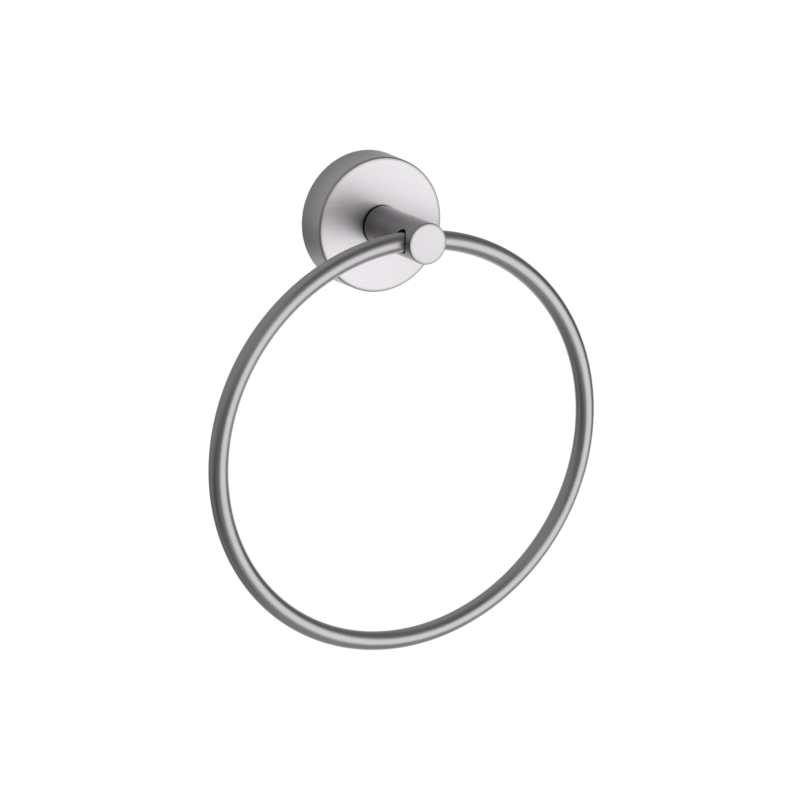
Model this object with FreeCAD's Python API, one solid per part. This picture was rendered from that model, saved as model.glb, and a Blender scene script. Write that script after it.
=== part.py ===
import FreeCAD, Part
import os
from math import cos, radians, sin, sqrt

from FreeCAD import Vector

# Towel ring for a wall, in millimetres: a round rose, a post on it, and a ring of round bar that
# hangs and swings in a bore across the post. The rose hides the plate that is screwed to the wall.
# Frame: the origin is on the wall, behind the middle of the rose. The post points along -Y, +Z is up.
# A depth is a distance from the wall, so a point at a depth lies at minus that depth in Y.

# Rose
rose_front_diameter = 54.0
rose_draft = 0.5  # the skirt is this much wider in radius at the wall than at the front
rose_depth = 15.0
rose_wall = 2.0
rose_edge_radius = 0.7
rose_inner_bevel = 1.0  # in the inner corner, between skirt and front

# Post
post_diameter = 16.0
post_neck_diameter = 14.0  # leaves a dark groove where the post meets the rose
post_neck_length = 1.1
post_tip_bevel = 0.4
bore_depth = 45.0  # from the wall to the axis of the cross bore
tip_beyond_bore = 8.0  # from the axis of the cross bore to the tip
bore_mouth_radius = 0.4  # both mouths of the cross bore are rounded over
spigot_diameter = 10.0
spigot_recess = 0.3  # the spigot ends this much short of the inside of the rose
spigot_clearance = 0.1  # round the spigot, in radius

# Ring
ring_outer_diameter = 171.0
bar_diameter = 7.5
bore_play = 1.3  # the bore is this much wider than the bar
ring_seat_gap = 0.35  # under the bar, where it lies on the lower edges of the bore

# Post screw with its washers
screw_diameter = 6.0
screw_engagement = 9.0  # in the post
screw_head_diameter = 10.5
screw_head_height = 3.3
screw_head_bevel = 1.4
screw_key_width = 4.0  # across the flats of the socket
screw_key_depth = 2.0
screw_end_bevel = 0.6
thread_clearance = 0.05  # in radius, between a screw and its tapped hole
tapped_reserve = 3.0  # the tapped hole runs this much past the end of its screw
drill_point = 1.5  # height of the cone at the bottom of the tapped hole
washer_hole_clearance = 0.2  # in radius, round the screw
flat_washer_diameter = 14.0
flat_washer_thickness = 1.2
lock_washer_diameter = 11.0
lock_washer_thickness = 1.6
lock_washer_split = 1.2
lock_washer_split_angle = 20.0  # degrees, from the radius

# Wall plate
plate_clearance = 0.3  # in radius, between the rim of the plate and the skirt
plate_depth = 8.0
plate_floor = 3.0
plate_land = 1.5  # straight part of the rim
plate_undercut = 4.0  # the rim slopes in by this much behind the land
plate_rim_wall = 3.0  # the wall of the plate at its narrowest
plate_edge_bevel = 0.5
wall_hole_diameter = 4.8
wall_hole_spacing = 24.0

# Grub screw
grub_diameter = 4.0
grub_depth = 4.0  # from the wall to its axis
grub_point_diameter = 2.0
grub_point_gap = 0.05  # between its cone and the slope of the plate
grub_recess = 0.3  # its outer end lies this much inside the skirt
grub_key_width = 2.0
grub_key_depth = 1.8

POST_AXIS = Vector(0, -1, 0)
UP = Vector(0, 0, 1)
ACROSS = Vector(1, 0, 0)
TOLERANCE = 1e-4

rose_front_radius = rose_front_diameter / 2
post_radius = post_diameter / 2
neck_radius = post_neck_diameter / 2
spigot_radius = spigot_diameter / 2
screw_radius = screw_diameter / 2
grub_radius = grub_diameter / 2
bar_radius = bar_diameter / 2
bore_radius = (bar_diameter + bore_play) / 2
ring_radius = (ring_outer_diameter - bar_diameter) / 2  # of the centre line of the bar
rose_inside = rose_depth - rose_wall  # depth of the inner side of the front
plate_rim_depth = plate_depth - plate_land - plate_undercut  # where the undercut ends


def skirt_radius(depth):
    """Outer radius of the tapered skirt at a depth."""
    return rose_front_radius + rose_draft * (1 - depth / rose_depth)


def at_depth(depth):
    """The point on the axis of the post at a depth."""
    return POST_AXIS * depth


def disc(radius, start, end):
    """Round block on the axis of the post, from one depth to another."""
    return Part.makeCylinder(radius, end - start, at_depth(start), POST_AXIS)


def cone(start_radius, end_radius, start, end):
    """Tapered round block on the axis of the post, from one depth to another."""
    return Part.makeCone(start_radius, end_radius, end - start, at_depth(start), POST_AXIS)


def turned(profile):
    """Solid of revolution about the axis of the post, from corners given as (radius, depth)."""
    corners = [Vector(radius, -depth, 0) for radius, depth in profile]
    outline = Part.makePolygon(corners + corners[:1])
    return Part.Face(outline).revolve(Vector(0, 0, 0), POST_AXIS, 360)


def rims(solid, radius, depth):
    """The circular edges of a turned solid at one radius and one depth."""
    found = []
    for edge in solid.Edges:
        curve = edge.Curve
        if not isinstance(curve, Part.Circle):
            continue
        off = abs(curve.Radius - radius) + abs(curve.Center.y + depth)
        if off < TOLERANCE:
            found.append(edge)
    return found


def hexagon_hole(across_flats, length, start, direction):
    """Six-sided prism for the socket of a screw, from a point along an axis."""
    corner_radius = across_flats / sqrt(3)
    corners = []
    for number in range(6):
        angle = radians(60 * number)
        corners.append(Vector(corner_radius * cos(angle), corner_radius * sin(angle), 0))
    outline = Part.makePolygon(corners + corners[:1])
    prism = Part.Face(outline).extrude(Vector(0, 0, length))
    turn = FreeCAD.Rotation(UP, direction)
    prism.Placement = FreeCAD.Placement(start, turn)
    return prism


def bore():
    """The cross bore of the post, as a rod that runs out on both sides."""
    start = at_depth(bore_depth) - ACROSS * post_diameter
    return Part.makeCylinder(bore_radius, 2 * post_diameter, start, ACROSS)


def rose_cover():
    """Cup with a closed front, a hole for the spigot and a tapped hole in the underside."""
    outside = cone(skirt_radius(0), rose_front_radius, 0, rose_depth)
    outside = outside.makeFillet(rose_edge_radius, rims(outside, rose_front_radius, rose_depth))
    inner_front = skirt_radius(rose_inside) - rose_wall
    inside = cone(skirt_radius(0) - rose_wall, inner_front, 0, rose_inside)
    inside = inside.makeChamfer(rose_inner_bevel, rims(inside, inner_front, rose_inside))
    spigot_hole = disc(spigot_radius + spigot_clearance, 0, rose_depth)
    grub_hole = Part.makeCylinder(
        grub_radius + thread_clearance, skirt_radius(0), at_depth(grub_depth), -UP
    )
    grub_hole.translate(-UP * plate_slope_radius(grub_depth))
    return outside.cut([inside, spigot_hole, grub_hole])


def post():
    """Round bar with a neck, a spigot, a tapped hole and the rounded cross bore."""
    tip = bore_depth + tip_beyond_bore
    shank = turned([
        (0, rose_depth),
        (neck_radius, rose_depth),
        (neck_radius, rose_depth + post_neck_length),
        (post_radius, rose_depth + post_neck_length),
        (post_radius, tip - post_tip_bevel),
        (post_radius - post_tip_bevel, tip),
        (0, tip),
    ])
    bored = shank.cut(bore())
    bored = bored.makeFillet(bore_mouth_radius, bore_mouths(bored))
    spigot = disc(spigot_radius, rose_inside + spigot_recess, rose_depth)
    tapped_radius = screw_radius + thread_clearance
    tapped_end = rose_depth + screw_engagement + tapped_reserve
    tapped = disc(tapped_radius, rose_inside, tapped_end)
    point = cone(tapped_radius, 0, tapped_end, tapped_end + drill_point)
    return bored.fuse(spigot).cut([tapped, point]).removeSplitter()


def bore_mouths(solid):
    """The two saddle-shaped edges where the cross bore leaves the post."""
    mouths = []
    for edge in solid.Edges:
        middle = edge.CenterOfMass
        box = edge.BoundBox
        round_bore = abs(box.YLength - 2 * bore_radius) < bar_radius
        if round_bore and abs(middle.x) > bar_radius:
            mouths.append(edge)
    return mouths


def ring_drop():
    """How far the middle of the ring hangs below the axis of the bore."""
    mouth = sqrt(post_radius ** 2 - bore_radius ** 2)
    inner_radius = ring_radius - bar_radius
    return bore_radius - ring_seat_gap + sqrt(inner_radius ** 2 - mouth ** 2)


def ring():
    """Closed ring of round bar through the bore, hanging from its lower edges."""
    middle = at_depth(bore_depth) - UP * ring_drop()
    return Part.makeTorus(ring_radius, bar_radius, middle, POST_AXIS)


def flat_washer():
    """Flat washer against the inside of the rose."""
    end = rose_inside
    start = end - flat_washer_thickness
    hole = disc(screw_radius + washer_hole_clearance, start, end)
    return disc(flat_washer_diameter / 2, start, end).cut(hole)


def lock_washer():
    """Spring washer, tightened flat, with its slanting split."""
    end = rose_inside - flat_washer_thickness
    start = end - lock_washer_thickness
    radius = lock_washer_diameter / 2
    hole = disc(screw_radius + washer_hole_clearance, start, end)
    split = Part.makeBox(
        lock_washer_split, 2 * lock_washer_thickness, lock_washer_diameter,
        Vector(-lock_washer_split / 2, -lock_washer_thickness, 0),
    )
    split.rotate(Vector(0, 0, 0), UP, lock_washer_split_angle)
    split.translate(at_depth((start + end) / 2))
    return disc(radius, start, end).cut([hole, split])


def post_screw():
    """Socket screw from inside the rose into the post."""
    seat = rose_inside - flat_washer_thickness - lock_washer_thickness
    top = seat - screw_head_height
    end = rose_depth + screw_engagement
    head_radius = screw_head_diameter / 2
    head = disc(head_radius, top, seat)
    head = head.makeChamfer(screw_head_bevel, rims(head, head_radius, top))
    shank = turned([
        (0, seat - screw_head_height / 2),
        (screw_radius, seat - screw_head_height / 2),
        (screw_radius, end - screw_end_bevel),
        (screw_radius - screw_end_bevel, end),
        (0, end),
    ])
    socket = hexagon_hole(screw_key_width, screw_key_depth, at_depth(top), POST_AXIS)
    return head.fuse(shank).cut(socket)


def plate_rim_radius():
    """Radius of the rim of the wall plate, inside the skirt."""
    return skirt_radius(plate_depth) - rose_wall - plate_clearance


def plate_slope_radius(depth):
    """Radius of the undercut of the wall plate at a depth between its ends."""
    return plate_rim_radius() - (plate_depth - plate_land - depth)


def wall_plate():
    """Round plate with a hollow front, an undercut rim and two holes for screws in the wall."""
    rim = plate_rim_radius()
    foot = rim - plate_undercut
    hollow = foot - plate_rim_wall
    plate = turned([
        (0, 0),
        (foot, 0),
        (foot, plate_rim_depth),
        (rim, plate_depth - plate_land),
        (rim, plate_depth),
        (hollow, plate_depth),
        (hollow, plate_floor),
        (0, plate_floor),
    ])
    corners = rims(plate, rim, plate_depth) + rims(plate, hollow, plate_depth)
    plate = plate.makeChamfer(plate_edge_bevel, corners)
    holes = []
    for side in (-1, 1):
        hole = disc(wall_hole_diameter / 2, 0, plate_floor)
        hole.translate(ACROSS * (side * wall_hole_spacing / 2))
        holes.append(hole)
    return plate.cut(holes)


def grub_screw():
    """Socket screw in the underside of the rose, its cone on the undercut of the plate."""
    slope = plate_slope_radius(grub_depth)
    gap = grub_point_gap * sqrt(2)  # along the axis, for a cone of 45 degrees
    point_radius = grub_point_diameter / 2
    point = slope + gap + point_radius
    shoulder = slope + gap + grub_radius
    end = skirt_radius(grub_depth) - grub_recess
    tip = Part.makeCone(point_radius, grub_radius, shoulder - point, -UP * point, -UP)
    shank = Part.makeCylinder(grub_radius, end - shoulder, -UP * shoulder, -UP)
    socket = hexagon_hole(grub_key_width, grub_key_depth, -UP * end, UP)
    screw = tip.fuse(shank).removeSplitter().cut(socket)
    screw.translate(at_depth(grub_depth))
    return screw


PIECES = [
    rose_cover,
    post,
    ring,
    wall_plate,
    post_screw,
    lock_washer,
    flat_washer,
    grub_screw,
]


def main():
    os.makedirs("parts", exist_ok=True)
    for piece in PIECES:
        solid = piece()
        solid.exportStep("parts/" + piece.__name__ + ".step")


main()
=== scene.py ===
from math import asin, atan, cos, hypot, pi, radians, sin, sqrt, tan

import bmesh
import bpy
from bpy.props import FloatProperty, FloatVectorProperty, IntProperty, PointerProperty
from mathutils import Matrix, Vector


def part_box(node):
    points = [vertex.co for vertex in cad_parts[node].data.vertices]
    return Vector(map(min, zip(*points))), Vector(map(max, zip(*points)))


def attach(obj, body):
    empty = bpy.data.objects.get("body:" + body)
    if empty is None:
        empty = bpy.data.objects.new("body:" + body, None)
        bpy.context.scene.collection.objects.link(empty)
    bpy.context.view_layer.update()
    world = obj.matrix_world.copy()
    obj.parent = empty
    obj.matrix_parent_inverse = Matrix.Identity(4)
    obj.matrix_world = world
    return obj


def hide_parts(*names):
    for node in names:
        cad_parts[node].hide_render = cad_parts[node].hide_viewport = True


bl_info = {
    "name": "Towel ring",
    "version": (1, 0, 0),
    "blender": (4, 5, 0),
    "location": "View3D > Sidebar > Towel ring",
    "description": "Builds a towel ring of brushed steel that swings in the post of a wall rose",
    "category": "Add Mesh",
}

# Everything is in metres, in the frame of the packed model: the origin is on the wall behind the
# middle of the rose, the post points along -Y and Z is up.

MM = 0.001
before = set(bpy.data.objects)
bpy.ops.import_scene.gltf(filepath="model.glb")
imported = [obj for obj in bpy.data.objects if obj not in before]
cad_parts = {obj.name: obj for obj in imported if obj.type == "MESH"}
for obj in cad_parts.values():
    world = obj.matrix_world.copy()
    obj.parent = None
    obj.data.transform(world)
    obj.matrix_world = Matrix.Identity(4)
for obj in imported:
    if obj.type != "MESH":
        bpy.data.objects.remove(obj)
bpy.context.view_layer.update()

FIXED_BODY = "bracket"
SWING_BODY = "towel_ring"

ROSE_STEPS = 256
PLATE_STEPS = 192
WASHER_STEPS = 96
SCREW_STEPS = 64
THREAD_STEPS = 48
HOLE_STEPS = 64
FLOOR_STEPS = 96

# Vertices closer than the first two are one, on fresh shapes and after cuts, and a vertex closer to
# a circle than the third lies on it.
SAME_PLACE = 1e-7
SAME_AFTER_CUT = 1e-6
ON_RIM = 1e-5
SHARP_ANGLE = radians(35)

ROSE_LOW, ROSE_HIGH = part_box("rose_cover")
POST_LOW, POST_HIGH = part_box("post")
HOOP_LOW, HOOP_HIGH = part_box("ring")
PLATE_LOW, PLATE_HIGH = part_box("wall_plate")
SCREW_LOW, SCREW_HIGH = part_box("post_screw")
LOCK_LOW, LOCK_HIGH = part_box("lock_washer")
FLAT_LOW, FLAT_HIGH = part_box("flat_washer")
GRUB_LOW, GRUB_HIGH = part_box("grub_screw")


def length(name, description, default):
    """A length property that shows fractions of a millimetre."""
    return FloatProperty(
        name=name, description=description, default=default, min=0.0,
        precision=5, unit="LENGTH", subtype="DISTANCE",
    )


def share(name, description, default):
    """A property that runs from 0 to 1."""
    return FloatProperty(
        name=name, description=description, default=default, min=0.0, max=1.0, subtype="FACTOR",
    )


def angle(name, description, degrees):
    """An angle property, from its default in degrees."""
    return FloatProperty(
        name=name, description=description, default=radians(degrees),
        unit="ROTATION", subtype="ANGLE",
    )


def brightness(name, description, default):
    """A brightness, where 1 is white."""
    return FloatProperty(name=name, description=description, default=default, min=0.0)


def point(name, description, default):
    """A point in space that shows fractions of a millimetre."""
    return FloatVectorProperty(
        name=name, description=description, default=default, size=3,
        precision=5, unit="LENGTH", subtype="TRANSLATION",
    )


def colour(name, description, default):
    """A colour property without transparency."""
    return FloatVectorProperty(
        name=name, description=description, default=default, min=0.0, max=1.0,
        size=3, subtype="COLOR",
    )


class RoseSizes(bpy.types.PropertyGroup):
    """Sizes of the round cover at the wall."""

    back_radius: length("Back radius", "Outer radius at the wall", ROSE_HIGH.x)
    front_radius: length("Front radius", "Outer radius at the front", 27 * MM)
    depth: length("Depth", "How far the front stands off the wall", -ROSE_LOW.y)
    wall: length("Wall", "Thickness of the skirt and the front", 2 * MM)
    edge_radius: length("Edge radius", "Round of the front edge", 0.7 * MM)
    inner_radius: length("Inner round", "Round inside, between skirt and front", 1 * MM)
    rim_ease: length("Rim ease", "Eased edges of the rim at the wall", 0.15 * MM)
    hole_radius: length("Hole radius", "Hole for the spigot of the post", 5.1 * MM)
    grub_hole_radius: length("Grub hole radius", "Tapped hole in the underside", 2.05 * MM)
    grub_hole_depth: length("Grub hole depth", "From the wall to the axis of that hole", 4 * MM)


class PostSizes(bpy.types.PropertyGroup):
    """Sizes of the round bar that carries the ring."""

    radius: length("Radius", "Radius of the bar", POST_HIGH.x)
    root: length("Root", "Distance from the wall to the root", -ROSE_LOW.y)
    tip: length("Tip", "Distance from the wall to the tip", -POST_LOW.y)
    neck_radius: length("Neck radius", "Neck that leaves a dark groove at the rose", 7 * MM)
    neck_length: length("Neck length", "Length of that neck", 1.1 * MM)
    shoulder_ease: length("Shoulder ease", "Eased edge between neck and bar", 0.12 * MM)
    tip_round: length("Tip round", "Round of the edge at the tip", 0.4 * MM)
    bore_depth: length("Bore depth", "Distance from the wall to the cross bore", 45 * MM)
    bore_radius: length("Bore radius", "Radius of the cross bore", 4.4 * MM)
    mouth_round: length("Mouth round", "Round of the mouths of the bore", 0.4 * MM)
    spigot_radius: length("Spigot radius", "Spigot in the hole of the rose", 5 * MM)
    spigot_end: length("Spigot end", "Distance from the wall to the end of the spigot", 13.3 * MM)
    tapped_radius: length("Tapped radius", "Hole for the post screw", 3.05 * MM)
    tapped_end: length("Tapped end", "Distance from the wall to the end of that hole", 27 * MM)
    drill_point: length("Drill point", "Height of the cone at the end of that hole", 1.5 * MM)


class HoopSizes(bpy.types.PropertyGroup):
    """Sizes of the closed ring of round bar."""

    outer_radius: length("Outer radius", "Outer radius of the ring", HOOP_HIGH.x)
    bar_radius: length("Bar radius", "Radius of the bar", (HOOP_HIGH.y - HOOP_LOW.y) / 2)
    middle: point("Middle", "Middle of the ring at rest", (HOOP_LOW + HOOP_HIGH) / 2)
    steps: IntProperty(name="Steps", description="Faces along the ring", default=384, min=24)
    sides: IntProperty(name="Sides", description="Faces round the bar", default=48, min=8)


class PlateSizes(bpy.types.PropertyGroup):
    """Sizes of the plate on the wall, inside the rose."""

    rim_radius: length("Rim radius", "Radius of the rim", PLATE_HIGH.x)
    depth: length("Depth", "How far the rim stands off the wall", -PLATE_LOW.y)
    floor: length("Floor", "Thickness of the floor", 3 * MM)
    land: length("Land", "Straight part of the rim", 1.5 * MM)
    undercut: length("Undercut", "How far the rim slopes in behind the land", 4 * MM)
    rim_wall: length("Rim wall", "Thickness of the rim at its narrowest", 3 * MM)
    edge_round: length("Edge round", "Round of the edges at the front", 0.5 * MM)
    foot_ease: length("Foot ease", "Eased edge at the wall", 0.3 * MM)
    hole_radius: length("Hole radius", "Holes for the wall screws", 2.4 * MM)
    hole_spacing: length("Hole spacing", "Distance between those holes", 24 * MM)


class FastenerSizes(bpy.types.PropertyGroup):
    """Sizes of the screws and washers."""

    head_radius: length("Head radius", "Radius of the head of the post screw", SCREW_HIGH.x)
    head_height: length("Head height", "Height of that head", 3.3 * MM)
    head_round: length("Head round", "Round of that head", 1.4 * MM)
    key_width: length("Key width", "Across the flats of its socket", 4 * MM)
    key_depth: length("Key depth", "Depth of its socket", 2 * MM)
    screw_radius: length("Screw radius", "Outer radius of its thread", 3 * MM)
    screw_pitch: length("Screw pitch", "Pitch of its thread", 1 * MM)
    screw_bevel: length("Screw bevel", "Bevel at its end", 0.6 * MM)
    thread_share: share("Thread depth", "Depth of a thread, as a share of its pitch", 0.54)
    washer_hole: length("Washer hole", "Radius of the holes of both washers", 3.2 * MM)
    washer_ease: length("Washer ease", "Eased edges of both washers", 0.15 * MM)
    split_width: length("Split width", "Width of the split in the spring washer", 1.2 * MM)
    split_angle: angle("Split angle", "Slant of that split", 20)
    grub_radius: length("Grub radius", "Outer radius of the grub screw", GRUB_HIGH.x)
    grub_pitch: length("Grub pitch", "Pitch of its thread", 0.7 * MM)
    grub_point: length("Grub point", "Radius of its point", 1 * MM)
    grub_key_width: length("Grub key width", "Across the flats of its socket", 2 * MM)
    grub_key_depth: length("Grub key depth", "Depth of its socket", 1.8 * MM)


class SteelLook(bpy.types.PropertyGroup):
    """Finish of the three visible pieces, with painted light and shade in their colours."""

    rose_tint: colour("Rose colour", "Colour of the steel of the rose", (0.683, 0.661, 0.683))
    # Painted shade: the post's and the ring's colours are the rose's steel colour made darker.
    post_shaded_tint: colour("Post colour", "Colour of the steel of the post", (0.461, 0.446, 0.461))
    hoop_shaded_tint: colour("Ring colour", "Colour of the steel of the ring", (0.485, 0.469, 0.485))
    rose_roughness: share("Rose roughness", "Mean roughness of the rose", 0.38)
    post_roughness: share("Post roughness", "Mean roughness of the post", 0.30)
    hoop_roughness: share("Ring roughness", "Mean roughness of the ring", 0.36)
    spread: share("Spread", "How much the brush lines change the roughness", 0.16)
    line_tone: share("Line tone", "How much the brush lines change the colour", 0.10)
    pitch: length("Pitch", "Distance between the finest brush lines", 0.30 * MM)
    broad_pitch: length("Broad pitch", "Distance between the broad brush lines", 1.1 * MM)
    stroke: length("Stroke", "Length of a brush line", 14 * MM)
    relief: length("Relief", "Height of the brush lines", 0.01 * MM)
    cloud: length("Cloud", "Size of the slow changes of tone", 25 * MM)
    cloud_tone: share("Cloud tone", "How far the tone changes slowly", 0.16)
    cloud_spread: share("Cloud spread", "How far the roughness changes slowly", 0.04)
    fine_share: share("Fine share", "Share of the finest lines in the brushing", 0.55)
    # Painted shade on the rounded front edge of the rose.
    rose_edge_width: length("Rose edge width", "Width of the darker edge of the rose", 1.5 * MM)
    rose_edge_painted_shade: share("Rose edge tone", "How much darker that edge is", 0.28)
    # Painted shade on the rounded edge of the tip.
    tip_edge_width: length("Tip edge width", "Width of the darker edge of the tip", 1.2 * MM)
    tip_edge_painted_shade: share("Tip edge tone", "How much darker that edge is", 0.3)
    # Painted shade on the skirt, darker towards the wall.
    skirt_painted_shade: share("Skirt tone", "How much darker the skirt is at the wall", 0.28)
    # Painted shade in the groove at the root, on top of the real shade that the neck casts.
    groove_painted_shade: share("Groove tone", "How much darker the groove at the root is", 0.85)
    groove_fade: length("Groove fade", "How far that dark spreads on the rose", 0.4 * MM)
    # Painted shade on the post near the rose, fading out along the bar.
    root_painted_shade: share("Root tone", "How much darker the post is at its root", 0.36)
    root_fade: length("Root fade", "How far from the rose that darker tone ends", 15 * MM)
    # Painted highlight that brightens the flat face of the tip.
    tip_face_painted_highlight: share("Face tone", "How much brighter the faced tip is", 0.22)


class FixingLook(bpy.types.PropertyGroup):
    """Finish of the hidden plate, screws and washers."""

    cast_tint: colour("Cast colour", "Colour of the cast plate", (0.50, 0.51, 0.53))
    cast_roughness: share("Cast roughness", "Mean roughness of the cast plate", 0.5)
    cast_spread: share("Cast spread", "How much the grain changes that roughness", 0.2)
    cast_relief: length("Cast relief", "Height of the grain of the casting", 0.06 * MM)
    grain: length("Grain", "Size of the grain of the casting", 0.5 * MM)
    flow: length("Flow", "Size of the slow changes of tone of the casting", 11.11 * MM)
    steel_tint: colour("Fastener colour", "Colour of screws and washers", (0.6, 0.6, 0.6))
    steel_roughness: share("Fastener roughness", "Mean roughness of screws and washers", 0.3)
    steel_spread: share("Fastener spread", "How much the tool marks change that roughness", 0.15)
    steel_relief: length("Fastener relief", "Height of the tool marks", 0.01 * MM)
    mark_pitch: length("Mark pitch", "Distance between the tool marks", 0.2 * MM)
    mark_length: length("Mark length", "Length of the tool marks", 1.111 * MM)


class StudioLook(bpy.types.PropertyGroup):
    """Camera, lamp, floor and surroundings."""

    lens: FloatProperty(
        name="Lens", description="Focal length", default=94.2, min=1.0, unit="CAMERA",
    )
    distance: length("Distance", "From the camera to the point it looks at", 814.2 * MM)
    target: point(
        "Target", "Point in the middle of the picture", (-5.10 * MM, -44.88 * MM, -63.06 * MM),
    )
    azimuth: angle("Azimuth", "Direction of the camera round the object", -29.05)
    elevation: angle("Elevation", "Direction of the camera above the horizon", 16.03)
    roll: angle("Roll", "Turn of the camera about its own axis", 2.19)
    floor_drop: length("Floor drop", "How far the floor lies below the origin", 1.0)
    floor_radius: length("Floor radius", "Radius of the floor", 12.0)
    key_level: brightness("Key level", "Brightness of the big lamp's face", 1.08)
    key_azimuth: angle("Key azimuth", "Direction of the big lamp round the object", 28)
    key_elevation: angle("Key elevation", "Direction of the big lamp above the horizon", -8)
    key_distance: length("Key distance", "From the ring to the big lamp", 1.2)
    key_width: length("Key width", "Width of the big lamp", 1.7)
    key_height: length("Key height", "Height of the big lamp", 1.3)
    surround: brightness("Surround", "Brightness of the room round the set", 0.37)


# Soft panels and black flags of the studio: azimuth and elevation of the middle, the angles from it
# at which the fade starts and ends, all in degrees, and what it adds to the brightness of the room.
PANELS = [
    (150, -32, 14, 52, 0.63),    # white backdrop, low behind the object as the camera sees it
    (180, 80, 15, 45, 0.08),     # soft panel overhead
    (0, 60, 10, 35, -0.27),      # black flags from here on, this one high in front
    (-10, -8, 8, 26, -0.30),     # in front
    (-45, -5, 8, 28, -0.22),     # front left
    (-80, -20, 8, 28, -0.21),    # left
    (-60, -45, 8, 30, -0.19),    # low, front left
    (-160, -40, 10, 40, -0.25),  # low, behind on the left
    (90, 0, 8, 30, -0.29),       # right
    (90, 45, 10, 40, -0.19),     # high, right
]


class Wire:
    """A socket in a node tree. Operators on it add Math nodes, and make() adds any other node."""

    def __init__(self, tree, socket=None):
        self.tree = tree
        self.socket = socket

    def make(self, kind, settings=None, values=None, out=0):
        """Adds a shader node, its settings first, then the values or links of its sockets."""
        node = self.tree.nodes.new("ShaderNode" + kind)
        for name, value in (settings or {}).items():
            setattr(node, name, value)
        for name, value in (values or {}).items():
            if isinstance(value, Wire):
                self.tree.links.new(value.socket, node.inputs[name])
            else:
                node.inputs[name].default_value = value
        outputs = node.outputs
        return Wire(self.tree, outputs[out] if len(outputs) else None)

    def math(self, operation, first, second=0.0):
        return self.make("Math", {"operation": operation}, {0: first, 1: second})

    def __add__(self, other):
        return self.math("ADD", self, other)

    __radd__ = __add__

    def __sub__(self, other):
        return self.math("SUBTRACT", self, other)

    def __rsub__(self, other):
        return self.math("SUBTRACT", other, self)

    def __mul__(self, other):
        return self.math("MULTIPLY", self, other)

    def __truediv__(self, other):
        return self.math("DIVIDE", self, other)

    def root(self):
        return self.math("SQRT", self)

    def at_least(self, other):
        return self.math("MAXIMUM", self, other)

    def vector(self, operation, other=(0.0, 0.0, 0.0), out=0):
        """Vector Math on this vector and another."""
        return self.make("VectorMath", {"operation": operation}, {0: self, 1: other}, out)

    def scaled(self, factor):
        """This vector or colour times a number."""
        return self.make("VectorMath", {"operation": "SCALE"}, {0: self, "Scale": factor})

    def parts(self):
        """The three components of this vector."""
        split = self.make("SeparateXYZ", values={0: self})
        node = split.socket.node
        return [Wire(self.tree, socket) for socket in node.outputs]

    def join(self, x, y, z):
        """A vector from its three components."""
        return self.make("CombineXYZ", values={0: x, 1: y, 2: z})

    def noise(self, position, detail):
        """Noise from about 0 to 1 at a position that is already scaled."""
        return self.make(
            "TexNoise", {"noise_dimensions": "3D"},
            {"Vector": position, "Scale": 1.0, "Detail": detail, "Roughness": 0.5},
        )

    def blend(self, factor, first, second):
        """Mixes two colours, through the sockets of the Mix node that are for colours."""
        return self.make("Mix", {"data_type": "RGBA"}, {0: factor, 6: first, 7: second}, out=2)

    def between(self, value, start, stop):
        """Rises smoothly from 0 to 1 as a value goes from start to stop."""
        return self.make(
            "MapRange", {"interpolation_type": "SMOOTHSTEP"},
            {0: value, 1: start, 2: stop, 3: 0.0, 4: 1.0},
        )


def new_material(name):
    """An empty material and the start of its node tree."""
    material = bpy.data.materials.new(name)
    material.use_nodes = True
    material.node_tree.nodes.clear()
    return material, Wire(material.node_tree)


def rgba(tint, scale):
    """A colour with full opacity, made lighter or darker."""
    return (*(min(1.0, channel * scale) for channel in tint), 1.0)


def surface(wire, tint, roughness, height, relief):
    """The metal shader at the end of a material."""
    bump = wire.make("Bump", values={
        "Strength": 1.0, "Distance": relief, "Height": height,
    })
    shader = wire.make("BsdfPrincipled", values={
        "Base Color": tint, "Metallic": 1.0, "Roughness": roughness, "Normal": bump,
    })
    wire.make("OutputMaterial", values={"Surface": shader})


def object_position(wire):
    return wire.make("TexCoord", out="Object")


CENTRE_RADIUS = 2 * MM
# Width over which the painted shade of the groove begins on the post.
GROOVE_EDGE = 0.1 * MM


def turned_place(wire):
    """Distance from the axis of the post and from the wall, and the direction round the axis, which
    fades to nothing at the centre so that no dot shows there."""
    x, y, z = object_position(wire).parts()
    radius = (x * x + z * z).root()
    divisor = radius.at_least(CENTRE_RADIUS)
    return radius, y * -1, wire.join(x / divisor, 0.0, z / divisor)


def hoop_place(wire, middle):
    """Direction round the ring, and the place in the section of its bar."""
    x, y, z = object_position(wire).parts()
    x, z = x - middle[0], z - middle[2]
    radius = (x * x + z * z).root()
    return wire.join(x / radius, 0.0, z / radius), wire.join(0.0, y - middle[1], radius)


def near_edge(wire, radius, depth, edge_radius, edge_depth, width):
    """1 on an edge of a turned piece, and 0 from a width away."""
    across, along = radius - edge_radius, depth - edge_depth
    return 1 - wire.between((across * across + along * along).root(), width / 2, width)


def brushed_steel(wire, look, tint, roughness, across, along, tone=1.0):
    """Satin steel, from the place across the fine brush lines, the place along them, and a tone
    of painted light and shade that makes parts of the piece lighter or darker."""
    stroke = along.scaled(1 / look.stroke)
    fine_lines = wire.noise(across.scaled(1 / look.pitch).vector("ADD", stroke), detail=3.0)
    broad_lines = wire.noise(across.scaled(1 / look.broad_pitch).vector("ADD", stroke), detail=1.0)
    cloud = wire.noise(object_position(wire).scaled(1 / look.cloud), detail=1.0)
    mark = fine_lines * look.fine_share + broad_lines * (1 - look.fine_share)
    colour_now = wire.blend(mark, rgba(tint, 1 - look.line_tone), rgba(tint, 1 + look.line_tone))
    colour_now = colour_now.scaled(((cloud - 0.5) * look.cloud_tone + 1) * tone)
    roughness = roughness + (mark - 0.5) * look.spread + (cloud - 0.5) * look.cloud_spread
    surface(wire, colour_now, roughness, mark, look.relief)


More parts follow.
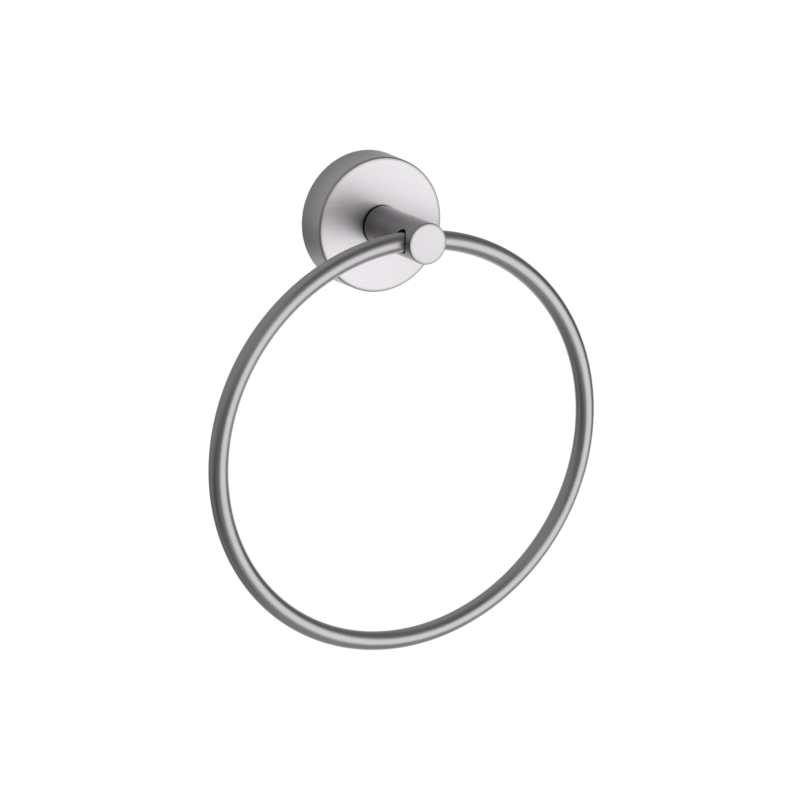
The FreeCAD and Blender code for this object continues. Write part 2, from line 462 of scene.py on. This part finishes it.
def rose_steel(look, sizes, post_radius):
    """Steel of the rose, brushed straight across the front and round the skirt, with painted shade
    on its front edge, on the skirt towards the wall and in the groove round the post."""
    material, wire = new_material("rose_steel")
    radius, depth, turn = turned_place(wire)
    x, y, z = object_position(wire).parts()
    edge_start = sizes.depth - sizes.edge_radius / 2
    front = wire.between(depth, edge_start, edge_start + sizes.edge_radius / 4)
    across = z * front + depth * (1 - front)
    along = wire.join(x, 0.0, 0.0).scaled(front).vector(
        "ADD", turn.scaled(sizes.front_radius).scaled(1 - front),
    )
    # Painted shade: the rose darkens on its rounded front edge.
    edge = near_edge(wire, radius, depth, sizes.front_radius, sizes.depth, look.rose_edge_width)
    # Painted shade: the skirt grows darker towards the wall.
    skirt = (1 - wire.between(depth, 0.0, sizes.depth)) * (1 - front)
    # Painted shade on the rose inside the groove round the post.
    groove = (1 - wire.between(radius, post_radius, post_radius + look.groove_fade)) * front
    tone = (1 - edge * look.rose_edge_painted_shade) * (1 - skirt * look.skirt_painted_shade)
    tone = tone * (1 - groove * look.groove_painted_shade)
    brushed_steel(
        wire, look, look.rose_tint, look.rose_roughness, wire.join(0.0, across, 0.0), along, tone,
    )
    return material


def post_steel(look, sizes):
    """Steel of the post, with a painted highlight on the tip's face, and painted shade on the tip's
    edge, in the groove and towards the root.
    """
    material, wire = new_material("post_steel")
    radius, depth, turn = turned_place(wire)
    # Painted shade: the post darkens on the rounded edge of its tip.
    edge = near_edge(wire, radius, depth, sizes.radius, sizes.tip, look.tip_edge_width)
    shoulder = sizes.root + sizes.neck_length
    # Painted shade on the neck, in the groove at the root.
    groove = 1 - wire.between(depth, shoulder - GROOVE_EDGE, shoulder)
    # Painted highlight on the flat face of the tip.
    face = wire.between(depth, sizes.tip - sizes.tip_round, sizes.tip - sizes.tip_round / 2)
    # Painted shade: the post is darker near its root, up to root_fade from it.
    away = wire.between(depth, sizes.root, sizes.root + look.root_fade)
    tone = (1 - edge * look.tip_edge_painted_shade) * (1 - groove * look.groove_painted_shade)
    tone = tone * (face * look.tip_face_painted_highlight + 1)
    tone = tone * (away * look.root_painted_shade + (1 - look.root_painted_shade))
    brushed_steel(
        wire, look, look.post_shaded_tint, look.post_roughness, wire.join(0.0, radius + depth, 0.0),
        turn.scaled(sizes.radius), tone,
    )
    return material


def hoop_steel(look, middle, reach):
    """Steel of the ring, brushed along its bar, in a darker copy of the rose's colour as painted
    shade.
    """
    material, wire = new_material("hoop_steel")
    turn, section = hoop_place(wire, middle)
    brushed_steel(wire, look, look.hoop_shaded_tint, look.hoop_roughness, section, turn.scaled(reach))
    return material


CAST_SHADES = (0.88, 1.08)
FASTENER_SHADES = (0.9, 1.08)


def cast_metal(name, look):
    """Matt zinc casting with a fine pebbled skin."""
    material, wire = new_material(name)
    place = object_position(wire)
    grain = wire.noise(place.scaled(1 / look.grain), detail=3.0)
    flow = wire.noise(place.scaled(1 / look.flow), detail=2.0)
    tint = wire.blend(flow, *(rgba(look.cast_tint, shade) for shade in CAST_SHADES))
    roughness = look.cast_roughness + (grain - 0.5) * look.cast_spread
    surface(wire, tint, roughness, grain, look.cast_relief)
    return material


def fastener_metal(name, look):
    """Plain machined steel with faint tool marks."""
    material, wire = new_material(name)
    scale = (1 / look.mark_length, 1 / look.mark_pitch, 1 / look.mark_length)
    marks = wire.noise(object_position(wire).vector("MULTIPLY", scale), detail=2.0)
    tint = wire.blend(marks, *(rgba(look.steel_tint, shade) for shade in FASTENER_SHADES))
    roughness = look.steel_roughness + (marks - 0.5) * look.steel_spread
    surface(wire, tint, roughness, marks, look.steel_relief)
    return material


def new_rim(bm, edges):
    """Extrudes a closed rim and gives the edges and vertices of the new one."""
    made = bmesh.ops.extrude_edge_only(bm, edges=edges)["geom"]
    verts = {item for item in made if isinstance(item, bmesh.types.BMVert)}
    rim = [
        item for item in made
        if isinstance(item, bmesh.types.BMEdge) and set(item.verts) <= verts
    ]
    return rim, list(verts)


def lathe(corners, steps):
    """A closed turned bmesh about the axis of the post, from corners given as (radius, depth)."""
    bm = bmesh.new()
    verts = [bm.verts.new((radius, -depth, 0)) for radius, depth in corners]
    edges = [bm.edges.new((a, b)) for a, b in zip(verts, verts[1:] + verts[:1])]
    bmesh.ops.spin(
        bm, geom=verts + edges, cent=(0, 0, 0), axis=(0, 1, 0), angle=2 * pi,
        steps=steps, use_merge=True,
    )
    bmesh.ops.remove_doubles(bm, verts=bm.verts, dist=SAME_PLACE)
    return bm


def round_rims(bm, circles, size, segments):
    """Rounds the edges that lie on circles about the same axis, given as (radius, depth)."""
    def on_circle(vert, radius, depth):
        off = hypot(vert.co.x, vert.co.z) - radius
        return abs(off) < ON_RIM and abs(vert.co.y + depth) < ON_RIM

    edges = [
        edge for edge in bm.edges
        if any(all(on_circle(vert, *circle) for vert in edge.verts) for circle in circles)
    ]
    bmesh.ops.bevel(
        bm, geom=edges, offset=size, offset_type="OFFSET", segments=segments,
        affect="EDGES", profile=0.5, material=-1, clamp_overlap=True,
    )


def in_scene(name, data):
    """A new object in the scene."""
    made = bpy.data.objects.new(name, data)
    bpy.context.scene.collection.objects.link(made)
    return made


def as_object(name, bm):
    """Uses up a bmesh to make an object in the scene."""
    mesh = bpy.data.meshes.new(name)
    bm.to_mesh(mesh)
    bm.free()
    return in_scene(name, mesh)


def finish_piece(bm, name, material, body, node):
    """Turns a finished bmesh into a piece that stands for a CAD node and moves with its body."""
    bmesh.ops.recalc_face_normals(bm, faces=bm.faces)
    piece = as_object(name, bm)
    piece.data.shade_smooth()
    piece.data.set_sharp_from_angle(angle=SHARP_ANGLE)
    piece.data.materials.append(material)
    weighted = piece.modifiers.new("Weighted normals", "WEIGHTED_NORMAL")
    weighted.mode = "FACE_AREA"
    weighted.keep_sharp = True
    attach(piece, body)
    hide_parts(node)


def rod(radius, start, stop, sides=HOLE_STEPS):
    """A closed round or many-sided bar from one point to another, as a bmesh."""
    bm = bmesh.new()
    axis = Vector(stop) - Vector(start)
    place = Matrix.Translation((Vector(start) + Vector(stop)) / 2)
    turn = axis.to_track_quat("Z", "Y").to_matrix().to_4x4()
    bmesh.ops.create_cone(
        bm, cap_ends=True, cap_tris=False, segments=sides, radius1=radius, radius2=radius,
        depth=axis.length, matrix=place @ turn,
    )
    return bm


def combine(bm, tool, operation):
    """Joins, cuts or intersects two closed bmeshes, uses them up and gives the result."""
    bodies = []
    for source in (bm, tool):
        bmesh.ops.recalc_face_normals(source, faces=source.faces)
        bodies.append(as_object("workpiece", source))
    blank, cutter = bodies
    cut = blank.modifiers.new("Cut", "BOOLEAN")
    cut.operation = operation
    cut.solver = "EXACT"
    cut.object = cutter
    bpy.context.view_layer.update()
    result = bmesh.new()
    result.from_object(blank, bpy.context.evaluated_depsgraph_get())
    for body in bodies:
        mesh = body.data
        bpy.data.objects.remove(body)
        bpy.data.meshes.remove(mesh)
    bmesh.ops.remove_doubles(result, verts=result.verts, dist=SAME_AFTER_CUT)
    bmesh.ops.dissolve_degenerate(result, edges=result.edges, dist=SAME_AFTER_CUT)
    if not result.faces:
        raise RuntimeError("nothing was left of a workpiece")
    return result


def drill(bm, radius, start, stop):
    """Cuts a round hole, from one point to another, and gives the new bmesh."""
    return combine(bm, rod(radius, start, stop), "DIFFERENCE")


def cut_socket(screw, width, face, depth):
    """Cuts a hexagon socket, given by its width across flats, into an end face of a screw."""
    key = rod(width / sqrt(3), (0, depth - face, 0), (0, -depth - face, 0), sides=6)
    return combine(screw, key, "DIFFERENCE")


# One turn of a thread, as the share of its depth and of its pitch at each corner, and the turns
# that are made past each end and cut off there.
THREAD_CORNERS = [(0, 0.0), (0, 0.12), (1, 0.44), (1, 0.68)]
SPARE_TURNS = 2


def helix(radius, pitch, depth_share, start, stop):
    """A closed threaded rod on the axis of the post, from one depth to another."""
    bm = bmesh.new()
    core = radius - pitch * depth_share
    first, last = -SPARE_TURNS, int((stop - start) / pitch) + SPARE_TURNS
    verts = []
    for turn in range(first, last):
        for height, part in THREAD_CORNERS:
            radial = core + (radius - core) * height
            verts.append(bm.verts.new((radial, -(start + (turn + part) * pitch), 0)))
    verts.append(bm.verts.new((core, -(start + last * pitch), 0)))
    edges = [bm.edges.new(pair) for pair in zip(verts, verts[1:])]
    bmesh.ops.spin(
        bm, geom=verts + edges, cent=(0, 0, 0), axis=(0, 1, 0), angle=2 * pi,
        steps=THREAD_STEPS, dvec=(0, -pitch / THREAD_STEPS, 0), use_merge=False,
    )
    bmesh.ops.remove_doubles(bm, verts=bm.verts, dist=SAME_AFTER_CUT)
    for depth, normal in ((start, (0, 1, 0)), (stop, (0, -1, 0))):
        bmesh.ops.bisect_plane(
            bm, geom=bm.verts[:] + bm.edges[:] + bm.faces[:], dist=SAME_PLACE,
            plane_co=(0, -depth, 0), plane_no=normal, clear_outer=True,
        )
        at_cut = [
            edge for edge in bm.edges if edge.is_boundary
            and all(abs(vert.co.y + depth) < SAME_AFTER_CUT for vert in edge.verts)
        ]
        bmesh.ops.contextual_create(bm, geom=at_cut)
    return bm


def mouth_profile(turn, sizes):
    """Radius from the bore's axis and distance along it at which the round of a mouth starts and
    ends, with the corner that it rounds and the weight of its arc, for an angle round the bore."""
    def surface_at(radius):
        reach = sqrt(sizes.radius ** 2 - (radius * sin(turn)) ** 2)
        return reach, radius * sin(turn) ** 2 / reach

    bore = sizes.bore_radius
    fall = atan(surface_at(bore)[1])
    run = sizes.mouth_round / tan((pi / 2 - fall) / 2)
    outer = bore + run * cos(fall)
    reach, slope = surface_at(outer)
    corner = reach + slope * (outer - bore)
    tangent = hypot(outer - bore, reach - corner)
    weight = sin((pi / 2 - atan(slope)) / 2)
    return (bore, corner - tangent), (bore, corner), (outer, reach), weight


def arc_point(first, corner, last, weight, share_done):
    """A point of the circular arc between two tangent points."""
    a, b, c = (1 - share_done) ** 2, 2 * share_done * (1 - share_done) * weight, share_done ** 2
    return [(a * f + b * k + c * l) / (a + b + c) for f, k, l in zip(first, corner, last)]


def patch_border(number, count, half_turn, half_length):
    """Point on the border of the rectangle that a mouth's patch fills on the unrolled post, as
    (distance along the post, distance round it). Its ends get three quarters of the points."""
    quarter = count // 4
    corner = quarter * 3 // 4
    lap, place = divmod(number, 2 * quarter)
    side = 1 if lap == 0 else -1
    rest = quarter - corner
    if place <= corner:
        along, round_it = half_length, half_turn * place / corner
    elif place <= corner + 2 * rest:
        along, round_it = half_length * (1 - (place - corner) / rest), half_turn
    else:
        along, round_it = -half_length, half_turn * (2 * quarter - place) / corner
    return along * side, round_it * side


class TOWELRING_OT_rose(bpy.types.Operator):
    """Make the round cover at the wall"""

    bl_idname = "towel_ring.rose"
    bl_label = "Rose cover"

    def execute(self, context):
        sizes = context.scene.towel_ring_rose
        inside = sizes.depth - sizes.wall
        draft = (sizes.back_radius - sizes.front_radius) / sizes.depth
        inner_front = sizes.back_radius - draft * inside - sizes.wall
        inner_back = sizes.back_radius - sizes.wall
        bm = lathe([
            (sizes.back_radius, 0),
            (sizes.front_radius, sizes.depth),
            (sizes.hole_radius, sizes.depth),
            (sizes.hole_radius, inside),
            (inner_front, inside),
            (inner_back, 0),
        ], ROSE_STEPS)
        round_rims(bm, [(sizes.front_radius, sizes.depth)], sizes.edge_radius, segments=8)
        round_rims(bm, [(inner_front, inside)], sizes.inner_radius, segments=6)
        round_rims(bm, [(sizes.back_radius, 0), (inner_back, 0)], sizes.rim_ease, segments=2)
        depth = -sizes.grub_hole_depth
        bm = drill(
            bm, sizes.grub_hole_radius, (0, depth, -sizes.back_radius + 2 * sizes.wall),
            (0, depth, -sizes.back_radius - sizes.wall),
        )
        post_radius = context.scene.towel_ring_post.radius
        steel = rose_steel(context.scene.towel_ring_steel, sizes, post_radius)
        finish_piece(bm, "rose", steel, FIXED_BODY, "rose_cover")
        return {"FINISHED"}


class TOWELRING_OT_post(bpy.types.Operator):
    """Make the post with its rounded cross bore"""

    bl_idname = "towel_ring.post"
    bl_label = "Post"

    # The rim of the bore has COUNT points. Each row is that rim extruded once more: along the bore,
    # at shares of its half, round the mouth, and over the post to a rectangle that ends HALF_LENGTH
    # from the middle of the bore, in rows that grow wider.
    COUNT = 256
    BORE_ROWS = (0.3, 0.6, 0.85, 0.96, 1.0)
    MOUTH_ROWS = 8
    PATCH_ROWS = 14
    PATCH_GROWTH = 1.7
    HALF_LENGTH = 7 * MM
    POINT_RADIUS = 0.02 * MM

    def bored_part(self, bm, sizes):
        """The stretch of the post round the cross bore, open at both ends."""
        centre = (0, -sizes.bore_depth, 0)
        turn = Matrix.Rotation(pi / 2, 4, "Y")
        bmesh.ops.create_circle(
            bm, cap_ends=False, segments=self.COUNT, radius=sizes.bore_radius,
            matrix=Matrix.Translation(centre) @ turn,
        )
        number = bm.verts.layers.int.new("number")
        for vert in bm.verts:
            spoke = Vector((vert.co.y + sizes.bore_depth, vert.co.z))
            turned = spoke.angle_signed(Vector((1, 0)))
            vert[number] = round(turned / (2 * pi) * self.COUNT) % self.COUNT
        turns = [2 * pi * i / self.COUNT for i in range(self.COUNT)]
        profiles = [mouth_profile(turn, sizes) for turn in turns]
        rim = list(bm.edges)

        def next_row(place):
            nonlocal rim
            rim, verts = new_rim(bm, rim)
            for vert in verts:
                vert.co = place(vert[number])

        def from_bore(radius, reach, i):
            along = radius * cos(turns[i]) - sizes.bore_depth
            return (reach, along, radius * sin(turns[i]))

        for done in self.BORE_ROWS:
            next_row(lambda i: from_bore(sizes.bore_radius, done * profiles[i][0][1], i))
        for step in range(1, self.MOUTH_ROWS + 1):
            next_row(lambda i: from_bore(*arc_point(*profiles[i], step / self.MOUTH_ROWS), i))

        half_turn = sizes.radius * pi / 2

        def unrolled(i, done):
            turn = turns[i]
            outer = profiles[i][2][0]
            start = (outer * cos(turn), sizes.radius * asin(outer * sin(turn) / sizes.radius))
            stop = patch_border(i, self.COUNT, half_turn, self.HALF_LENGTH)
            along, round_it = (a + (b - a) * done for a, b in zip(start, stop))
            bend = round_it / sizes.radius
            return (sizes.radius * cos(bend), along - sizes.bore_depth, sizes.radius * sin(bend))

        for step in range(1, self.PATCH_ROWS + 1):
            next_row(lambda i: unrolled(i, (step / self.PATCH_ROWS) ** self.PATCH_GROWTH))
        everything = bm.verts[:] + bm.edges[:] + bm.faces[:]
        bmesh.ops.mirror(bm, geom=everything, axis="X", merge_dist=SAME_PLACE)
        bmesh.ops.remove_doubles(bm, verts=bm.verts, dist=SAME_AFTER_CUT)
        bmesh.ops.recalc_face_normals(bm, faces=bm.faces)

    def turned_end(self, bm, rim, radius, steps):
        """Carries an open end on through turned steps, given as (radius, depth), and closes it."""
        for next_radius, depth in steps:
            rim, verts = new_rim(bm, rim)
            ratio = next_radius / radius
            bmesh.ops.scale(bm, vec=(ratio, 1, ratio), verts=verts)
            bmesh.ops.translate(bm, vec=(0, -depth - verts[0].co.y, 0), verts=verts)
            radius = next_radius
        bmesh.ops.contextual_create(bm, geom=rim)

    def execute(self, context):
        sizes = context.scene.towel_ring_post
        bm = bmesh.new()
        self.bored_part(bm, sizes)
        open_edges = [edge for edge in bm.edges if edge.is_boundary]
        tip_rim = [edge for edge in open_edges if edge.verts[0].co.y < -sizes.bore_depth]
        root_rim = [edge for edge in open_edges if edge.verts[0].co.y > -sizes.bore_depth]
        if len(tip_rim) != len(root_rim) or not tip_rim:
            raise RuntimeError("the stretch with the cross bore isn't open at its two ends alone")
        self.turned_end(bm, tip_rim, sizes.radius, [(sizes.radius, sizes.tip)])
        shoulder = sizes.root + sizes.neck_length
        self.turned_end(bm, root_rim, sizes.radius, [
            (sizes.radius, shoulder),
            (sizes.neck_radius, shoulder),
            (sizes.neck_radius, sizes.root),
            (sizes.spigot_radius, sizes.root),
            (sizes.spigot_radius, sizes.spigot_end),
            (sizes.tapped_radius, sizes.spigot_end),
            (sizes.tapped_radius, sizes.tapped_end),
            (self.POINT_RADIUS, sizes.tapped_end + sizes.drill_point),
        ])
        bmesh.ops.recalc_face_normals(bm, faces=bm.faces)
        round_rims(bm, [(sizes.radius, sizes.tip)], sizes.tip_round, segments=6)
        round_rims(bm, [(sizes.radius, shoulder)], sizes.shoulder_ease, segments=2)
        look = context.scene.towel_ring_steel
        finish_piece(bm, "post_bar", post_steel(look, sizes), FIXED_BODY, "post")
        return {"FINISHED"}


class TOWELRING_OT_hoop(bpy.types.Operator):
    """Make the closed ring of round bar"""

    bl_idname = "towel_ring.hoop"
    bl_label = "Ring"

    def execute(self, context):
        sizes = context.scene.towel_ring_hoop
        middle = Vector(sizes.middle)
        reach = sizes.outer_radius - sizes.bar_radius
        bm = bmesh.new()
        made = bmesh.ops.create_circle(
            bm, cap_ends=False, segments=sizes.sides, radius=sizes.bar_radius,
            matrix=Matrix.Translation(middle + Vector((reach, 0, 0))),
        )
        bmesh.ops.spin(
            bm, geom=made["verts"] + bm.edges[:], cent=middle, axis=(0, 1, 0), angle=2 * pi,
            steps=sizes.steps, use_merge=True,
        )
        bmesh.ops.remove_doubles(bm, verts=bm.verts, dist=SAME_PLACE)
        look = context.scene.towel_ring_steel
        finish_piece(bm, "hoop", hoop_steel(look, middle, reach), SWING_BODY, "ring")
        return {"FINISHED"}


class TOWELRING_OT_plate(bpy.types.Operator):
    """Make the cast plate that is screwed to the wall"""

    bl_idname = "towel_ring.plate"
    bl_label = "Wall plate"

    def execute(self, context):
        sizes = context.scene.towel_ring_plate
        foot = sizes.rim_radius - sizes.undercut
        hollow = foot - sizes.rim_wall
        slope_start = sizes.depth - sizes.land - sizes.undercut
        bm = lathe([
            (0, 0),
            (foot, 0),
            (foot, slope_start),
            (sizes.rim_radius, sizes.depth - sizes.land),
            (sizes.rim_radius, sizes.depth),
            (hollow, sizes.depth),
            (hollow, sizes.floor),
            (0, sizes.floor),
        ], PLATE_STEPS)
        front = [(sizes.rim_radius, sizes.depth), (hollow, sizes.depth)]
        round_rims(bm, front, sizes.edge_round, segments=4)
        round_rims(bm, [(foot, 0)], sizes.foot_ease, segments=3)
        for side in (-1, 1):
            x = side * sizes.hole_spacing / 2
            bm = drill(bm, sizes.hole_radius, (x, sizes.floor, 0), (x, -2 * sizes.floor, 0))
        material = cast_metal("cast_zinc", context.scene.towel_ring_fixings)
        finish_piece(bm, "plate", material, FIXED_BODY, "wall_plate")
        return {"FINISHED"}


class TOWELRING_OT_screws(bpy.types.Operator):
    """Make the post screw and the grub screw"""

    bl_idname = "towel_ring.screws"
    bl_label = "Screws"

    def post_screw(self, sizes):
        top = -SCREW_HIGH.y
        end = -SCREW_LOW.y
        seat = top + sizes.head_height
        inside_head = seat - sizes.head_height / 4
        head = lathe([
            (0, top), (sizes.head_radius, top), (sizes.head_radius, seat), (0, seat),
        ], SCREW_STEPS)
        round_rims(head, [(sizes.head_radius, top)], sizes.head_round, segments=6)
        bar = lathe([
            (0, inside_head),
            (sizes.screw_radius, inside_head),
            (sizes.screw_radius, end - sizes.screw_bevel),
            (sizes.screw_radius - sizes.screw_bevel, end),
            (0, end),
        ], SCREW_STEPS)
        thread = helix(
            sizes.screw_radius, sizes.screw_pitch, sizes.thread_share,
            seat - sizes.head_height / 2, end + sizes.screw_pitch,
        )
        bar = combine(bar, thread, "INTERSECT")
        screw = combine(head, bar, "UNION")
        return cut_socket(screw, sizes.key_width, top, sizes.key_depth)

    def grub_screw(self, sizes):
        tip, end = -GRUB_HIGH.z, -GRUB_LOW.z
        shoulder = tip + sizes.grub_radius - sizes.grub_point
        bar = lathe([
            (0, tip),
            (sizes.grub_point, tip),
            (sizes.grub_radius, shoulder),
            (sizes.grub_radius, end),
            (0, end),
        ], SCREW_STEPS)
        round_rims(bar, [(sizes.grub_radius, end)], sizes.washer_ease, segments=2)
        thread = helix(
            sizes.grub_radius, sizes.grub_pitch, sizes.thread_share,
            tip - sizes.grub_pitch, end + sizes.grub_pitch,
        )
        screw = combine(bar, thread, "INTERSECT")
        screw = cut_socket(screw, sizes.grub_key_width, end, sizes.grub_key_depth)
        place = Matrix.Translation((0, (GRUB_LOW.y + GRUB_HIGH.y) / 2, 0))
        screw.transform(place @ Matrix.Rotation(pi / 2, 4, "X"))
        return screw

    def execute(self, context):
        sizes = context.scene.towel_ring_fasteners
        steel = fastener_metal("machined_steel", context.scene.towel_ring_fixings)
        screw = self.post_screw(sizes)
        finish_piece(screw, "screw", steel, FIXED_BODY, "post_screw")
        grub = self.grub_screw(sizes)
        finish_piece(grub, "grub", steel, FIXED_BODY, "grub_screw")
        return {"FINISHED"}


class TOWELRING_OT_washers(bpy.types.Operator):
    """Make the flat washer and the spring washer"""

    bl_idname = "towel_ring.washers"
    bl_label = "Washers"

    def washer(self, sizes, low, high):
        """A round washer that fills a box round the axis of the post."""
        start, end, hole = -high.y, -low.y, sizes.washer_hole
        corners = [(high.x, start), (high.x, end), (hole, end), (hole, start)]
        bm = lathe(corners, WASHER_STEPS)
        round_rims(bm, corners, sizes.washer_ease, segments=2)
        return bm

    def execute(self, context):
        sizes = context.scene.towel_ring_fasteners
        steel = fastener_metal("washer_steel", context.scene.towel_ring_fixings)
        flat = self.washer(sizes, FLAT_LOW, FLAT_HIGH)
        finish_piece(flat, "washer_flat", steel, FIXED_BODY, "flat_washer")
        spring = self.washer(sizes, LOCK_LOW, LOCK_HIGH)
        thickness = LOCK_HIGH.y - LOCK_LOW.y
        middle = Vector((0, (LOCK_HIGH.y + LOCK_LOW.y) / 2, LOCK_HIGH.x))
        turn = Matrix.Rotation(sizes.split_angle, 3, "Z")
        box = Vector((sizes.split_width, 4 * thickness, 2 * LOCK_HIGH.x))
        split = bmesh.new()
        bmesh.ops.create_cube(split, size=1.0, matrix=Matrix.LocRotScale(middle, turn, box))
        spring = combine(spring, split, "DIFFERENCE")
        finish_piece(spring, "washer_spring", steel, FIXED_BODY, "lock_washer")
        return {"FINISHED"}


def towards(azimuth, elevation):
    """Unit vector in a direction. Azimuth 0 is the front of the object, and right of it is more."""
    return Vector((
        sin(azimuth) * cos(elevation), -cos(azimuth) * cos(elevation), sin(elevation),
    ))


class TOWELRING_OT_stage(bpy.types.Operator):
    """Make the camera, the lamp, the floor and the surroundings"""

    bl_idname = "towel_ring.stage"
    bl_label = "Stage"

    SENSOR_WIDTH = 36
    LAMP_AIM = Vector((0, -45 * MM, -50 * MM))
    WHITE_SHOWN = 1.03
    PAPER_SHADE = 0.8
    SHADOW_SHARE = 0.03

    def camera(self, context, look):
        back = towards(look.azimuth, look.elevation)
        roll = look.roll
        right = (-back).cross(Vector((0, 0, 1))).normalized()
        up = right.cross(-back)
        side = right * cos(roll) + up * sin(roll)
        top = up * cos(roll) - right * sin(roll)
        data = bpy.data.cameras.new("camera")
        data.lens = look.lens
        data.sensor_width = self.SENSOR_WIDTH
        camera = in_scene("camera", data)
        turn = Matrix((side, top, back)).transposed().to_4x4()
        camera.matrix_world = Matrix.Translation(Vector(look.target) + back * look.distance) @ turn
        context.scene.camera = camera

    def key_lamp(self, look):
        out = towards(look.key_azimuth, look.key_elevation)
        data = bpy.data.lights.new("key", "AREA")
        data.shape = "RECTANGLE"
        data.size = look.key_width
        data.size_y = look.key_height
        data.energy = look.key_level * pi * look.key_width * look.key_height
        lamp = in_scene("key", data)
        turn = out.to_track_quat("Z", "Y").to_matrix().to_4x4()
        lamp.matrix_world = Matrix.Translation(self.LAMP_AIM + out * look.key_distance) @ turn
        lamp.visible_camera = False

    def room_light(self, wire, direction, look):
        """Brightness of the studio in a direction, from its panels and black flags."""
        level = look.surround
        for azimuth, elevation, full, gone, strength in PANELS:
            middle = towards(radians(azimuth), radians(elevation))
            facing = direction.vector("DOT_PRODUCT", middle, out="Value")
            level = wire.between(facing, cos(radians(gone)), cos(radians(full))) * strength + level
        return level.at_least(0.0)

    def surroundings(self, context, look):
        """The room as the metal shows it, and plain white behind the object."""
        world = bpy.data.worlds.new("studio")
        context.scene.world = world
        world.use_nodes = True
        world.node_tree.nodes.clear()
        wire = Wire(world.node_tree)
        level = self.room_light(wire, wire.make("TexCoord", out="Generated"), look)
        seen = wire.make("LightPath", out="Is Camera Ray")
        strength = seen + (1 - seen) * level
        shader = wire.make("Background", values={"Color": (1, 1, 1, 1), "Strength": strength})
        wire.make("OutputWorld", values={"Surface": shader})

    def floor(self, look):
        """White paper to the camera, and the room's light to the metal."""
        bm = bmesh.new()
        bmesh.ops.create_circle(
            bm, cap_ends=True, segments=FLOOR_STEPS, radius=look.floor_radius,
            matrix=Matrix.Translation((0, 0, -look.floor_drop)),
        )
        floor = as_object("floor", bm)
        material, wire = new_material("floor_paper")
        seen, glossy, through = (
            wire.make("LightPath", out=output)
            for output in ("Is Camera Ray", "Is Glossy Ray", "Is Transmission Ray")
        )
        direction = object_position(wire).vector("NORMALIZE")
        shown = seen * self.WHITE_SHOWN + (1 - seen) * self.room_light(wire, direction, look)
        shade = self.PAPER_SHADE
        paper = wire.make("BsdfDiffuse", values={"Color": (shade, shade, shade, 1)})
        white = wire.make("Emission", values={"Color": (1, 1, 1, 1), "Strength": shown})
        part = seen * (1 - self.SHADOW_SHARE) + glossy.at_least(through) * (1 - seen)
        mixed = wire.make("MixShader", values={0: part, 1: paper, 2: white})
        wire.make("OutputMaterial", values={"Surface": mixed})
        floor.data.materials.append(material)

    def execute(self, context):
        look = context.scene.towel_ring_studio
        context.scene.view_settings.view_transform = "Standard"
        self.camera(context, look)
        self.key_lamp(look)
        self.surroundings(context, look)
        self.floor(look)
        return {"FINISHED"}


class TOWELRING_PT_sidebar(bpy.types.Panel):
    """Sizes and finishes of the towel ring, with a button for each piece"""

    bl_idname = "TOWELRING_PT_sidebar"
    bl_label = "Towel ring"
    bl_space_type = "VIEW_3D"
    bl_region_type = "UI"
    bl_category = "Towel ring"

    def draw(self, context):
        layout = self.layout
        for operator in OPERATORS:
            layout.operator(operator.bl_idname)
        for attribute, group in GROUPS.items():
            box = layout.box()
            box.label(text=group.__doc__)
            for name in group.__annotations__:
                box.prop(getattr(context.scene, attribute), name)


GROUPS = {
    "towel_ring_rose": RoseSizes,
    "towel_ring_post": PostSizes,
    "towel_ring_hoop": HoopSizes,
    "towel_ring_plate": PlateSizes,
    "towel_ring_fasteners": FastenerSizes,
    "towel_ring_steel": SteelLook,
    "towel_ring_fixings": FixingLook,
    "towel_ring_studio": StudioLook,
}
OPERATORS = [
    TOWELRING_OT_rose,
    TOWELRING_OT_post,
    TOWELRING_OT_hoop,
    TOWELRING_OT_plate,
    TOWELRING_OT_screws,
    TOWELRING_OT_washers,
    TOWELRING_OT_stage,
]
CLASSES = [*GROUPS.values(), *OPERATORS, TOWELRING_PT_sidebar]


def register():
    for kind in CLASSES:
        bpy.utils.register_class(kind)
    for attribute, group in GROUPS.items():
        setattr(bpy.types.Scene, attribute, PointerProperty(type=group))


def unregister():
    for attribute in GROUPS:
        delattr(bpy.types.Scene, attribute)
    for kind in reversed(CLASSES):
        bpy.utils.unregister_class(kind)


def main():
    register()
    bpy.ops.towel_ring.rose()
    bpy.ops.towel_ring.post()
    bpy.ops.towel_ring.hoop()
    bpy.ops.towel_ring.plate()
    bpy.ops.towel_ring.screws()
    bpy.ops.towel_ring.washers()
    bpy.ops.towel_ring.stage()


if __name__ == "__main__":
    main()
